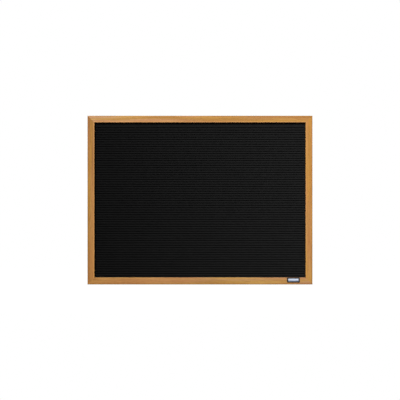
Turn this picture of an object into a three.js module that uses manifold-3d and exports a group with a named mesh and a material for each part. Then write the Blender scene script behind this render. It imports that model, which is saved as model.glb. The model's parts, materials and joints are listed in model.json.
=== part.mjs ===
// Letter board for a wall: an oak frame around a felt panel that is slotted for push-in letters.
// Millimetres. X runs right, Y towards the wall and Z up. The wood's back plane is y = 0 in the
// layout, which is then moved so that the origin lies midway between the two hook points.

import * as THREE from 'three';
import { mergeVertices } from 'three/addons/utils/BufferGeometryUtils.js';
import Module from 'manifold-3d';

const wasm = await Module();
wasm.setup();

// Frame
const boardWidth = 609.6;
const boardHeight = 457.2;
const railWidth = 19.05;
const frameDepth = 19.05;
const frontRound = 1.2;
const backRound = 0.8;
const rebateWidth = 6.35;
const mitreGlueLine = 0.12;

// Panel, from the felt back to the hardboard
const feltThickness = 0.8;
const feltGlueLine = 0.1;
const coreThickness = 8.3;
const backingThickness = 3.2;
const backingRecess = 0.3;
const panelClearance = 0.5;

// Grooves that hold the letters' tabs
const groovePitch = 6.38;
const grooveWidth = 1.4;
const grooveDepth = 5;
const grooveShoulder = 0.9;
const firstGrooveDrop = 13.5;
const leastLastLand = 2;

// V-nails across the mitres
const vNailGauge = 0.5;
const vNailLeg = 5;
const vNailDepth = 10;
const vNailSink = 0.3;
const vNailClearance = 0.25;
const vNailHalfAngle = THREE.MathUtils.degToRad(38);
const vNailApexShares = { outer: 0.5, inner: 0.88 };

// Pan-head wood screws, used for the turn buttons and the hangers
const screwShankRadius = 1.5;
const screwLength = 12;
const screwPointLength = 3;
const screwHeadRadius = 3.25;
const screwHeadHeight = 1.8;
const screwHeadRim = 0.7;
const screwHoleClearance = 0.25;
const screwTipClearance = 0.3;
const driveLength = 3.4;
const driveWidth = 0.8;
const driveDepth = 1.2;
const driveTaper = 0.8;

// Turn buttons over the backing
const buttonLength = 28;
const buttonThickness = 1.4;
const buttonHubRadius = 5.5;
const buttonTipRadius = 3.8;
const buttonBore = 4;
const buttonLiftLength = 5;
const buttonLift = 1.1;
const buttonRunningGap = 0.2;
const railButtonOffset = 170;
const hangerButtonGap = 8.1;

// Strap hangers on the stiles
const hangerDrop = 100;
const hangerInset = 7;
const strapGauge = 0.8;
const strapWidth = 8;
const strapDrop = 30;
const strapEndRound = 2.5;
const strapHoleDrop = 21;
const strapScrewGap = 0.1;
const ringWireRadius = 1.1;
const ringBarClearance = 0.2;
const ringHalfWidth = 5.6;
const ringHeight = 11;
const ringCornerRadius = 1.6;
const ringButtGap = 0.4;
const ringRestGap = 0.3;

// Rubber bumpers at the foot of the board
const bumperRadius = 5;
const bumperHeight = 4.5;
const bumperRound = 1;
const bumperInset = 40;

// Label on the bottom rail
const labelWidth = 35.1;
const labelHeight = 13.4;
const labelThickness = 0.8;
const labelCorner = 2;
const labelInset = 34.1;
const labelTopInset = 0.35;
const insertWidth = 29;
const insertHeight = 8.6;
const insertThickness = 0.4;
const insertCorner = 1;
const insertClearance = 0.15;

// Counts of straight pieces that stand for round ones
const edgeSegments = 2;
const shoulderSegments = 2;
const shankSides = 12;
const outlineSegments = 6;
const wireSides = 4;
const ringSteps = 44;
const bumperSides = 24;

// How far a cut runs past the surface that it opens
const overrun = 1;

// Sizes that follow from those above
const rebateDepth = feltThickness + feltGlueLine + coreThickness + backingThickness + backingRecess;
const stripWidth = railWidth - rebateWidth;
const sightHeight = boardHeight - 2 * railWidth;
const panelWidth = boardWidth - 2 * (stripWidth + panelClearance);
const panelHeight = boardHeight - 2 * (stripWidth + panelClearance);
const grooveCount = Math.floor((sightHeight - firstGrooveDrop - leastLastLand) / groovePitch) + 1;
const feltFront = -rebateDepth;
const coreFront = feltFront + feltThickness + feltGlueLine;
const coreBack = coreFront + coreThickness;
const screwHoleRadius = screwShankRadius + screwHoleClearance;
const buttonScrewSeat = buttonThickness + 2 * buttonRunningGap;
const strapScrewSeat = 2 * strapGauge + strapScrewGap;
const strapLoopRadius = ringWireRadius + ringBarClearance + strapGauge;
const ringLean = Math.asin((strapLoopRadius - ringWireRadius - ringRestGap) / ringHeight);
const hangerHeight = boardHeight / 2 - hangerDrop;
const buttonSweep = buttonLength - buttonHubRadius;
const stileButtonOffset = hangerHeight - strapDrop - hangerButtonGap - buttonSweep;
const hookDepth = strapLoopRadius - ringHeight * Math.sin(ringLean);
const hookHeight = hangerHeight + ringHeight * Math.cos(ringLean) - ringWireRadius;

// Finishes
const oak = new THREE.MeshStandardMaterial({ color: '#be8c54', roughness: 0.5, metalness: 0 });
const felt = new THREE.MeshStandardMaterial({ color: '#1a1a1a', roughness: 0.95, metalness: 0 });
const fibreboard = new THREE.MeshStandardMaterial({ color: '#8d6e4d', roughness: 0.85, metalness: 0 });
const hardboard = new THREE.MeshStandardMaterial({ color: '#6f4c31', roughness: 0.8, metalness: 0 });
const zincSteel = new THREE.MeshStandardMaterial({ color: '#bcc0c4', roughness: 0.35, metalness: 0.9 });
const rubber = new THREE.MeshStandardMaterial({ color: '#202020', roughness: 0.8, metalness: 0 });
const blackPlastic = new THREE.MeshStandardMaterial({ color: '#151515', roughness: 0.4, metalness: 0 });
const paleFoil = new THREE.MeshStandardMaterial({ color: '#c8d2e0', roughness: 0.3, metalness: 0.4 });

// Solids that are cut or joined

function toSolid(geometry) {
  const bare = new THREE.BufferGeometry();
  bare.setAttribute('position', geometry.getAttribute('position'));
  bare.setIndex(geometry.index);
  const welded = mergeVertices(bare);
  const vertProperties = new Float32Array(welded.getAttribute('position').array);
  const triVerts = new Uint32Array(welded.index.array);
  return new wasm.Manifold(new wasm.Mesh({ numProp: 3, vertProperties, triVerts }));
}

function toGeometry(solid) {
  const mesh = solid.getMesh();
  const indexed = new THREE.BufferGeometry();
  indexed.setAttribute('position', new THREE.BufferAttribute(mesh.vertProperties, 3));
  indexed.setIndex(new THREE.BufferAttribute(mesh.triVerts, 1));
  const faceted = indexed.toNonIndexed();
  faceted.computeVertexNormals();
  return faceted;
}

function cutAway(geometry, cutters) {
  let solid = toSolid(geometry);
  for (const cutter of cutters) {
    solid = solid.subtract(toSolid(cutter));
  }
  return toGeometry(solid);
}

// Extrusions: a profile drawn as (y, z) and run along X, centred, or an outline drawn as (x, z)
// and run from y = back towards the front

function runAlongX(profile, length, curveSegments) {
  const geometry = new THREE.ExtrudeGeometry(profile, { depth: length, bevelEnabled: false, curveSegments });
  const turn = new THREE.Matrix4().makeBasis(
    new THREE.Vector3(0, 1, 0),
    new THREE.Vector3(0, 0, 1),
    new THREE.Vector3(1, 0, 0),
  );
  return geometry.applyMatrix4(turn).translate(-length / 2, 0, 0);
}

function runAlongY(outline, thickness, back, curveSegments) {
  const geometry = new THREE.ExtrudeGeometry(outline, { depth: thickness, bevelEnabled: false, curveSegments });
  return geometry.rotateX(Math.PI / 2).translate(0, back, 0);
}

function roundedRectangle(width, height, corner) {
  const outline = new THREE.Shape();
  const right = width / 2 - corner;
  const top = height / 2 - corner;
  outline.absarc(right, top, corner, 0, Math.PI / 2, false);
  outline.absarc(-right, top, corner, Math.PI / 2, Math.PI, false);
  outline.absarc(-right, -top, corner, Math.PI, 1.5 * Math.PI, false);
  outline.absarc(right, -top, corner, 1.5 * Math.PI, 2 * Math.PI, false);
  return outline;
}

function nodeMesh(name, geometry, material) {
  const mesh = new THREE.Mesh(geometry, material);
  mesh.name = name;
  return mesh;
}

// Holes for a screw, down from the wood's back plane

function screwHole(seat, x, z) {
  const depth = screwLength - seat + screwTipClearance;
  const hole = new THREE.CylinderGeometry(screwHoleRadius, screwHoleRadius, depth + overrun, shankSides);
  return hole.translate(x, (overrun - depth) / 2, z);
}

// V-nail: a V in plan whose apex points into the frame, driven across the mitre from behind

function vNailPlan(clearance) {
  const half = vNailGauge / 2 + clearance;
  const leg = vNailLeg + clearance;
  const sine = Math.sin(vNailHalfAngle);
  const cosine = Math.cos(vNailHalfAngle);
  const plan = new THREE.Shape();
  plan.moveTo(half / sine, 0);
  plan.lineTo(half * sine - leg * cosine, leg * sine + half * cosine);
  plan.lineTo(-half * sine - leg * cosine, leg * sine - half * cosine);
  plan.lineTo(-half / sine, 0);
  plan.lineTo(-half * sine - leg * cosine, half * cosine - leg * sine);
  plan.lineTo(half * sine - leg * cosine, -half * cosine - leg * sine);
  return plan;
}

function vNailGeometry() {
  return runAlongY(vNailPlan(0), vNailDepth, -vNailSink, outlineSegments);
}

function vNailSlot() {
  const depth = vNailSink + vNailDepth + vNailClearance;
  return runAlongY(vNailPlan(vNailClearance), depth + overrun, overrun, outlineSegments);
}

// Rail: drawn with its outer edge on z = 0 and its inside towards +Z, mitred at both ends

function railSection() {
  const section = new THREE.Shape();
  const front = -frameDepth;
  section.absarc(front + frontRound, frontRound, frontRound, 1.5 * Math.PI, Math.PI, true);
  section.absarc(front + frontRound, railWidth - frontRound, frontRound, Math.PI, Math.PI / 2, true);
  section.lineTo(-rebateDepth, railWidth);
  section.lineTo(-rebateDepth, stripWidth);
  section.lineTo(0, stripWidth);
  section.absarc(-backRound, backRound, backRound, 0, -Math.PI / 2, true);
  return section;
}

function railGeometry(length, screwHoles) {
  const geometry = runAlongX(railSection(), length, edgeSegments);
  const points = geometry.getAttribute('position');
  const pullBack = mitreGlueLine * Math.SQRT1_2;
  for (let i = 0; i < points.count; i += 1) {
    const side = Math.sign(points.getX(i));
    points.setX(i, side * (length / 2 - points.getZ(i) - pullBack));
  }
  const cutters = [...screwHoles];
  for (const share of Object.values(vNailApexShares)) {
    for (const side of [-1, 1]) {
      const slot = vNailSlot().rotateY(Math.atan2(-1, -side));
      const reach = share * stripWidth;
      cutters.push(slot.translate(side * (length / 2 - reach), 0, reach));
    }
  }
  return cutAway(geometry, cutters);
}

function makeRails() {
  const rails = new THREE.Group();
  const centre = stripWidth / 2;
  const railHoles = () => [-1, 1].map((side) => screwHole(buttonScrewSeat, side * railButtonOffset, centre));
  const stileHoles = (up) => [
    ...[-1, 1].map((side) => screwHole(buttonScrewSeat, side * stileButtonOffset, centre)),
    screwHole(strapScrewSeat, up * (hangerHeight - strapHoleDrop), hangerInset),
  ];
  const top = nodeMesh('rail_top', railGeometry(boardWidth, railHoles()), oak);
  top.position.z = boardHeight / 2;
  top.rotation.y = Math.PI;
  const bottom = nodeMesh('rail_bottom', railGeometry(boardWidth, railHoles()), oak);
  bottom.position.z = -boardHeight / 2;
  const left = nodeMesh('stile_left', railGeometry(boardHeight, stileHoles(-1)), oak);
  left.position.x = -boardWidth / 2;
  left.rotation.y = Math.PI / 2;
  const right = nodeMesh('stile_right', railGeometry(boardHeight, stileHoles(1)), oak);
  right.position.x = boardWidth / 2;
  right.rotation.y = -Math.PI / 2;
  rails.add(top, bottom, left, right);
  return rails;
}

function makeVNails() {
  const nails = new THREE.Group();
  const corners = [
    { name: 'top_left', x: -1, z: 1 },
    { name: 'top_right', x: 1, z: 1 },
    { name: 'bottom_left', x: -1, z: -1 },
    { name: 'bottom_right', x: 1, z: -1 },
  ];
  for (const corner of corners) {
    for (const [place, share] of Object.entries(vNailApexShares)) {
      const nail = nodeMesh(`v_nail_${corner.name}_${place}`, vNailGeometry(), zincSteel);
      const reach = share * stripWidth;
      nail.position.x = corner.x * (boardWidth / 2 - reach);
      nail.position.z = corner.z * (boardHeight / 2 - reach);
      nail.rotation.y = Math.atan2(corner.z, -corner.x);
      nails.add(nail);
    }
  }
  return nails;
}

// Panel

function grooveHeights() {
  const first = sightHeight / 2 - firstGrooveDrop;
  const heights = [];
  for (let i = grooveCount - 1; i >= 0; i -= 1) {
    heights.push(first - i * groovePitch);
  }
  return heights;
}

function feltProfile() {
  const half = grooveWidth / 2;
  const bend = feltFront + grooveShoulder;
  const floor = feltFront + grooveDepth;
  const back = feltFront + feltThickness;
  const heights = grooveHeights();
  const profile = new THREE.Shape();
  profile.moveTo(back, -panelHeight / 2);
  profile.lineTo(feltFront, -panelHeight / 2);
  for (const z of heights) {
    profile.absarc(bend, z - half - grooveShoulder, grooveShoulder, Math.PI, Math.PI / 2, true);
    profile.lineTo(floor, z - half);
    profile.lineTo(floor, z + half);
    profile.absarc(bend, z + half + grooveShoulder, grooveShoulder, -Math.PI / 2, -Math.PI, true);
  }
  profile.lineTo(feltFront, panelHeight / 2);
  profile.lineTo(back, panelHeight / 2);
  for (const z of heights.reverse()) {
    profile.lineTo(back, z + half + feltThickness);
    profile.lineTo(floor + feltThickness, z + half + feltThickness);
    profile.lineTo(floor + feltThickness, z - half - feltThickness);
    profile.lineTo(back, z - half - feltThickness);
  }
  return profile;
}

function coreProfile() {
  const half = grooveWidth / 2 + feltThickness + feltGlueLine;
  const floor = coreFront + grooveDepth;
  const profile = new THREE.Shape();
  profile.moveTo(coreFront, -panelHeight / 2);
  for (const z of grooveHeights()) {
    profile.lineTo(coreFront, z - half);
    profile.lineTo(floor, z - half);
    profile.lineTo(floor, z + half);
    profile.lineTo(coreFront, z + half);
  }
  profile.lineTo(coreFront, panelHeight / 2);
  profile.lineTo(coreBack, panelHeight / 2);
  profile.lineTo(coreBack, -panelHeight / 2);
  return profile;
}

function makePanel() {
  const panel = new THREE.Group();
  const face = nodeMesh('felt_face', runAlongX(feltProfile(), panelWidth, shoulderSegments), felt);
  const core = nodeMesh('grooved_board', runAlongX(coreProfile(), panelWidth, edgeSegments), fibreboard);
  const sheet = new THREE.BoxGeometry(panelWidth, backingThickness, panelHeight);
  sheet.translate(0, coreBack + backingThickness / 2, 0);
  panel.add(face, core, nodeMesh('backing_board', sheet, hardboard));
  return panel;
}

// Screw: drawn with its head's seat on y = 0 and its point towards -Y

function driveBar() {
  const mouth = driveLength / 2;
  const foot = mouth - driveTaper;
  const side = new THREE.Shape();
  side.moveTo(-mouth - driveTaper, overrun);
  side.lineTo(mouth + driveTaper, overrun);
  side.lineTo(mouth, 0);
  side.lineTo(foot, -driveDepth);
  side.lineTo(-foot, -driveDepth);
  side.lineTo(-mouth, 0);
  const bar = new THREE.ExtrudeGeometry(side, { depth: driveWidth, bevelEnabled: false });
  return bar.translate(0, screwHeadHeight, -driveWidth / 2);
}

function screwGeometry() {
  const outline = [
    [0, -screwLength],
    [screwShankRadius, screwPointLength - screwLength],
    [screwShankRadius, 0],
    [screwHeadRadius, 0],
    [screwHeadRadius, screwHeadRim],
  ];
  const domeSteps = [1, 2, 3];
  const domeHeight = screwHeadHeight - screwHeadRim;
  for (const step of domeSteps) {
    const angle = step / domeSteps.length * Math.PI / 2;
    const radius = screwHeadRadius * Math.cos(angle);
    outline.push([step === domeSteps.length ? 0 : radius, screwHeadRim + domeHeight * Math.sin(angle)]);
  }
  const profile = outline.map(([radius, height]) => new THREE.Vector2(radius, height));
  const blank = new THREE.LatheGeometry(profile, shankSides);
  return cutAway(blank, [driveBar(), driveBar().rotateY(Math.PI / 2)]);
}

// Turn button: drawn with its bore on the Y axis, its tongue towards +X and its back on y = 0

function buttonGeometry() {
  const reach = buttonLength - buttonHubRadius - buttonTipRadius;
  const tangent = Math.acos((buttonHubRadius - buttonTipRadius) / reach);
  const outline = new THREE.Shape();
  outline.absarc(0, 0, buttonHubRadius, tangent, 2 * Math.PI - tangent, false);
  outline.absarc(reach, 0, buttonTipRadius, -tangent, tangent, false);
  const bore = new THREE.Path();
  bore.absarc(0, 0, buttonBore / 2, 0, 2 * Math.PI, false);
  outline.holes.push(bore);
  const tall = buttonLift + buttonThickness + 2 * overrun;
  const blank = runAlongY(outline, tall, tall - overrun, outlineSegments);

  const tip = reach + buttonTipRadius + overrun;
  const bend = tip - overrun - buttonLiftLength;
  const rise = buttonLift * (tip - bend) / buttonLiftLength;
  const side = new THREE.Shape();
  side.moveTo(-buttonHubRadius - overrun, 0);
  side.lineTo(bend, 0);
  side.lineTo(tip, rise);
  side.lineTo(tip, rise + buttonThickness);
  side.lineTo(bend, buttonThickness);
  side.lineTo(-buttonHubRadius - overrun, buttonThickness);
  const slab = new THREE.ExtrudeGeometry(side, { depth: 4 * buttonHubRadius, bevelEnabled: false });
  slab.translate(0, 0, -2 * buttonHubRadius);
  return toGeometry(toSolid(blank).intersect(toSolid(slab)));
}

function makeTurnButtons() {
  const buttons = new THREE.Group();
  const across = boardWidth / 2 - stripWidth / 2;
  const up = boardHeight / 2 - stripWidth / 2;
  const places = [
    { name: 'top_left', x: -railButtonOffset, z: up, turn: Math.PI / 2 },
    { name: 'top_right', x: railButtonOffset, z: up, turn: Math.PI / 2 },
    { name: 'bottom_left', x: -railButtonOffset, z: -up, turn: -Math.PI / 2 },
    { name: 'bottom_right', x: railButtonOffset, z: -up, turn: -Math.PI / 2 },
    { name: 'left_upper', x: -across, z: stileButtonOffset, turn: 0 },
    { name: 'left_lower', x: -across, z: -stileButtonOffset, turn: 0 },
    { name: 'right_upper', x: across, z: stileButtonOffset, turn: Math.PI },
    { name: 'right_lower', x: across, z: -stileButtonOffset, turn: Math.PI },
  ];
  for (const place of places) {
    const post = new THREE.Group();
    post.position.set(place.x, 0, place.z);
    const button = nodeMesh(`turn_button_${place.name}`, buttonGeometry(), zincSteel);
    button.position.y = buttonRunningGap;
    button.rotation.y = place.turn;
    const screw = nodeMesh(`button_screw_${place.name}`, screwGeometry(), zincSteel);
    screw.position.y = buttonScrewSeat;
    post.add(button, screw);
    buttons.add(post);
  }
  return buttons;
}

// Hanger: drawn with the ring's bar on the X axis, above its strap

function strapGeometry() {
  const back = -strapLoopRadius;
  const front = back + 2 * strapGauge;
  const side = new THREE.Shape();
  side.moveTo(front, -strapDrop);
  side.lineTo(back, -strapDrop);
  side.absarc(0, 0, strapLoopRadius, Math.PI, -Math.acos(front / strapLoopRadius), true);
  const eye = new THREE.Path();
  eye.absarc(0, 0, ringWireRadius + ringBarClearance, 0, 2 * Math.PI, false);
  side.holes.push(eye);
  const strip = runAlongX(side, strapWidth, outlineSegments);

  const outline = roundedRectangle(strapWidth, strapDrop + 2 * strapEndRound, strapEndRound);
  const hole = new THREE.Path();
  const middle = strapDrop / 2 - strapEndRound;
  hole.absarc(0, middle - strapHoleDrop, screwHoleRadius, 0, 2 * Math.PI, false);
  outline.holes.push(hole);
  const deep = 2 * (strapLoopRadius + overrun);
  const punch = runAlongY(outline, deep, deep / 2, outlineSegments).translate(0, 0, -middle);
  return toGeometry(toSolid(strip).intersect(toSolid(punch)));
}

class BentWire extends THREE.Curve {
  constructor(outline) {
    super();
    this.outline = outline;
  }

  getPoint(t) {
    const point = this.outline.getPointAt(t);
    return new THREE.Vector3(point.x, 0, point.y);
  }
}

function ringGeometry() {
  const straight = ringHalfWidth - ringCornerRadius;
  const bow = ringHeight - ringHalfWidth;
  const outline = new THREE.Path();
  outline.moveTo(ringButtGap / 2, 0);
  outline.lineTo(straight, 0);
  outline.absarc(straight, ringCornerRadius, ringCornerRadius, -Math.PI / 2, 0, false);
  outline.absarc(0, bow, ringHalfWidth, 0, Math.PI, false);
  outline.absarc(-straight, ringCornerRadius, ringCornerRadius, Math.PI, 1.5 * Math.PI, false);
  outline.lineTo(-ringButtGap / 2, 0);
  const wire = new THREE.Shape();
  wire.absarc(0, 0, ringWireRadius, 0, 2 * Math.PI, false);
  return new THREE.ExtrudeGeometry(wire, {
    steps: ringSteps,
    curveSegments: wireSides,
    extrudePath: new BentWire(outline),
  });
}

function makeHangers() {
  const hangers = new THREE.Group();
  for (const [name, side] of [['left', -1], ['right', 1]]) {
    const hanger = new THREE.Group();
    hanger.position.set(side * (boardWidth / 2 - hangerInset), strapLoopRadius, hangerHeight);
    const strap = nodeMesh(`hanger_strap_${name}`, strapGeometry(), zincSteel);
    const ring = nodeMesh(`hanger_ring_${name}`, ringGeometry(), zincSteel);
    ring.rotation.x = ringLean;
    const screw = nodeMesh(`hanger_screw_${name}`, screwGeometry(), zincSteel);
    screw.position.set(0, strapScrewSeat - strapLoopRadius, -strapHoleDrop);
    hanger.add(strap, ring, screw);
    hangers.add(hanger);
  }
  return hangers;
}

// Bumpers, which keep the foot of the board off the wall

function bumperGeometry() {
  const profile = [new THREE.Vector2(0, 0), new THREE.Vector2(bumperRadius, 0)];
  for (let i = 0; i <= edgeSegments; i += 1) {
    const angle = i / edgeSegments * Math.PI / 2;
    const radius = bumperRadius - bumperRound * (1 - Math.cos(angle));
    profile.push(new THREE.Vector2(radius, bumperHeight - bumperRound * (1 - Math.sin(angle))));
  }
  profile.push(new THREE.Vector2(0, bumperHeight));
  return new THREE.LatheGeometry(profile, bumperSides);
}

function makeBumpers() {
  const bumpers = new THREE.Group();
  for (const [name, side] of [['left', -1], ['right', 1]]) {
    const bumper = nodeMesh(`wall_bumper_${name}`, bumperGeometry(), rubber);
    bumper.position.set(side * (boardWidth / 2 - bumperInset), 0, (stripWidth - boardHeight) / 2);
    bumpers.add(bumper);
  }
  return bumpers;
}

// Label: a plate on the bottom rail with a plain insert let into it

function makeLabel() {
  const label = new THREE.Group();
  label.position.x = boardWidth / 2 - labelInset - labelWidth / 2;
  label.position.z = railWidth - labelTopInset - (labelHeight + boardHeight) / 2;
  const insertBack = insertThickness - frameDepth - labelThickness;
  const blank = roundedRectangle(labelWidth, labelHeight, labelCorner);
  const pocket = roundedRectangle(
    insertWidth + 2 * insertClearance,
    insertHeight + 2 * insertClearance,
    insertCorner + insertClearance,
  );
  const plate = cutAway(runAlongY(blank, labelThickness, -frameDepth, outlineSegments / 2), [
    runAlongY(pocket, insertThickness + overrun, insertBack, outlineSegments / 2),
  ]);
  const field = roundedRectangle(insertWidth, insertHeight, insertCorner);
  const insert = runAlongY(field, insertThickness, insertBack, outlineSegments / 2);
  label.add(nodeMesh('label_plate', plate, blackPlastic), nodeMesh('label_insert', insert, paleFoil));
  return label;
}

const letterBoard = new THREE.Group();
letterBoard.position.set(0, -hookDepth, -hookHeight);
letterBoard.add(
  makeRails(),
  makeVNails(),
  makePanel(),
  makeTurnButtons(),
  makeHangers(),
  makeBumpers(),
  makeLabel(),
);

export default letterBoard;
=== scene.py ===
"""Dresses the letter board: lacquered oak, pressed felt, a hardboard back and plated fittings."""

import json
import math

import bmesh
import bpy
from mathutils import Matrix, Vector, noise


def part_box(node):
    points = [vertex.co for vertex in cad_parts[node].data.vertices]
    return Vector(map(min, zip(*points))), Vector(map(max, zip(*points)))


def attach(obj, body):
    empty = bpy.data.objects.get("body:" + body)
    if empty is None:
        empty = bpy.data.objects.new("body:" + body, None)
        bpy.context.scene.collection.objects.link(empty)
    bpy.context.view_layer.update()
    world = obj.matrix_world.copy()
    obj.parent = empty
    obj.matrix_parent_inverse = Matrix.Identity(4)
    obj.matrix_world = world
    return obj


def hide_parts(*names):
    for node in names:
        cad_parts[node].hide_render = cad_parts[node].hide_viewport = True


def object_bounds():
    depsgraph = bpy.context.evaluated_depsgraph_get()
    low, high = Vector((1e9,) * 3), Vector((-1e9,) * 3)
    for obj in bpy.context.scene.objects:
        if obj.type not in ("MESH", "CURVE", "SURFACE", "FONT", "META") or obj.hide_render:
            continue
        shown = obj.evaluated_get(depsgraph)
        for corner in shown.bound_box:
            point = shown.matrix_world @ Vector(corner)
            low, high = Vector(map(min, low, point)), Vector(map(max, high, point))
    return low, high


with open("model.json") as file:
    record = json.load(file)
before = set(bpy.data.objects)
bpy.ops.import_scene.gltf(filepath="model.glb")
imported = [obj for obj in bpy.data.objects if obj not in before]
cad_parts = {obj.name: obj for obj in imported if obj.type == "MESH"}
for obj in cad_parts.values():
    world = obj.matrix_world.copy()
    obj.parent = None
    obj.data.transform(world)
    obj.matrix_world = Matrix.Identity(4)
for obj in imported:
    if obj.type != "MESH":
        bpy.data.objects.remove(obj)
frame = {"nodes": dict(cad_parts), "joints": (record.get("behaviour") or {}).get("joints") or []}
cad_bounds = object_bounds()

MM = 0.001

# The photograph's frame: its side and the board's place in it, in pixels
PHOTO_SIDE = 400
PHOTO_CENTRE = (199.97, 200.1)
PHOTO_BOARD_WIDTH = 224.95

# A long lens, so that the rails' inner walls hardly show
CAMERA_LENS = 200

# Sizes that the frame's boxes don't give, in millimetres

# Rails
RAIL_WIDTH = 19.05
REBATE_WIDTH = 6.35
STRIP_WIDTH = RAIL_WIDTH - REBATE_WIDTH
FRONT_ROUND = 1.2
BACK_ROUND = 0.8
ARRIS = 0.25
MITRE_GLUE_LINE = 0.12
SCREW_HOLE_RADIUS = 1.75
SCREW_TIP_CLEARANCE = 0.3
CUT_OVERRUN = 1.0
RAIL_STEPS = 24

# Oak: a band of growth, how far it leans and sways, the outer edge that hands have marked, the inner edge
# worn paler and given a painted highlight, and how the painted shade along the lip fades out
GROWTH_BAND = 2.6
GROWTH_LEAN_SHARE = 0.45
GROWTH_SWAY = 16.0
HELD_EDGE = 7.0
WORN_HIGHLIT_EDGE = 4.5
LIP_SHADE_FADE = 0.4

# V-nails and their slots
V_NAIL_GAUGE = 0.5
V_NAIL_LEG = 5.0
V_NAIL_DEPTH = 10.0
V_NAIL_SINK = 0.3
V_NAIL_CLEARANCE = 0.25
V_NAIL_HALF_ANGLE = math.radians(38)
V_NAIL_APEX_SHARES = (0.5, 0.88)

# Felt
GROOVE_PITCH = 6.38
GROOVE_WIDTH = 1.4
GROOVE_DEPTH = 5.0
GROOVE_SHOULDER = 0.9
FIRST_GROOVE_DROP = 13.5
LEAST_LAST_LAND = 2.0
FELT_THICKNESS = 0.8
FELT_WANDER = 0.07
FELT_WANDER_LENGTHS = (23.0, 9.0, 3.1)
# Ways that the loose fibres lie, in degrees
FIBRE_TURNS = (15, 75, 130)
# How far into the slots their painted shade starts, in millimetres
SLOT_SHADE_START = 0.05
# Widths of the painted shadow under the left and top lips: fully dark within FULL_SHADE of the opening, gone
# by LEFT_SHADE and TOP_SHADE, in millimetres
FULL_SHADE = 2.0
LEFT_SHADE = 4.0
TOP_SHADE = 7.0

# Hardboard
HARDBOARD_CORNER = 1.0
HARDBOARD_EASE = 0.4
SCREEN_WIRE_SPACING = 1.6

# Turn buttons
BUTTON_THICKNESS = 1.4
BUTTON_TIP_RADIUS = 3.8
BUTTON_BORE = 4.0
BUTTON_LIFT_LENGTH = 5.0
BUTTON_BEND_SHARE = 0.4
BUTTON_EASE = 0.18
BUTTON_BEND_STEPS = 6
# How near to a cut of the blank a point counts as lying on it
CUT_SNAP = 1e-4

# Strap hangers
STRAP_GAUGE = 0.8
STRAP_METAL = 0.78
STRAP_LOOP_RADIUS = 1.7
STRAP_END_ROUND = 2.5
STRAP_HOLE_DROP = 21.0
STRAP_EASE = 0.12
STRAP_TURN_STEPS = 8
STRAP_LOOP_STEPS = 32
RING_WIRE_RADIUS = 1.1
RING_HALF_WIDTH = 5.6
RING_HEIGHT = 11.0
RING_CORNER_RADIUS = 1.6
RING_BUTT_GAP = 0.4
RING_REST_GAP = 0.3

# Screws
SCREW_LENGTH = 12.0
SCREW_POINT = 3.0
SCREW_TIP_SHARE = 0.06
SCREW_CREST = 1.5
SCREW_ROOT = 1.15
THREAD_PITCH = 1.3
THREAD_CREST_SHARE = 0.3
# How far under the head the thread ends
THREAD_END = 0.4
HEAD_RADIUS = 3.25
HEAD_HEIGHT = 1.8
HEAD_RIM = 0.7
HEAD_EDGE = 0.12
DOME_FULLNESS = 0.62
# The cross recess: half length and half width of an arm, at heights over the head's top
RECESS_LEVELS = ((2.3, 0.46, 0.6), (1.7, 0.4, 0.0), (0.95, 0.28, -1.2))
# How far each screw was turned past the one before it, in radians
SCREW_TURN = 2.4

# Bumpers
BUMPER_ROUND = 1.0
DIMPLE_RADIUS = 1.2
DIMPLE_EDGE = 0.3
DIMPLE_STEP = 0.1
DIMPLE_POINT = 0.3
DIMPLE_DEPTH = 0.35

# Label
LABEL_CORNER = 2.0
LABEL_EASE = 0.3
INSERT_CORNER = 1.0
INSERT_CLEARANCE = 0.15
INSERT_EASE = 0.1
SLATE_SHARE = 0.38
KEYLINE = 0.8
FOIL_FADE = 0.1

# Floor: its half width and its gap under the board, in millimetres
FLOOR_REACH = 6000
FLOOR_GAP = 0.2
# How far out it fades to a full glow, and where along Y it comes to be mirrored, in metres
FLOOR_FADE = (0.5, 1.6)
MIRROR_START = (0.0, 0.03)
# How bright it glows near the board, and how bright the floor behind the board is in what shines
FLOOR_GLOW = 0.955
FLOOR_MIRRORED = 0.7

# Surround: its light in front of the board and behind it, and where along Y one turns to the other
SURROUND_FRONT = 0.13
SURROUND_BACK = 0.9
SURROUND_TURN = (-0.1, 0.5)

# Each light's place in metres from the board's centre, its side in metres and its watts
LIGHTS = {
    "key": ((-1.17, -2.6, 2.08), 0.6, 115),
    "right_fill": ((1.0, -2.4, 0.3), 0.9, 18),
    "back_left_fill": ((-2.0, 2.0, 1.1), 1.4, 36),
    "back_right_fill": ((2.0, 2.0, 1.1), 1.4, 36),
}


# Measuring

def span(node):
    """Lowest and highest corners of a CAD node, in millimetres."""
    low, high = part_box(node)
    return low / MM, high / MM


def middle(node):
    """Centre of a CAD node's box, in millimetres."""
    low, high = span(node)
    return (low + high) / 2


def hinge(name):
    """The place that a joint turns about, in millimetres."""
    return next(Vector(joint["pos_m"]) / MM for joint in frame["joints"] if joint["name"] == name)


BOARD_LOW = Vector((span("stile_left")[0].x, span("rail_bottom")[0].y, span("rail_bottom")[0].z))
BOARD_HIGH = Vector((span("stile_right")[1].x, span("rail_top")[1].y, span("rail_top")[1].z))
BOARD_SIZE = BOARD_HIGH - BOARD_LOW
BOARD_CENTRE = (BOARD_LOW + BOARD_HIGH) / 2


# Camera, at the photograph's square-on view

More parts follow.
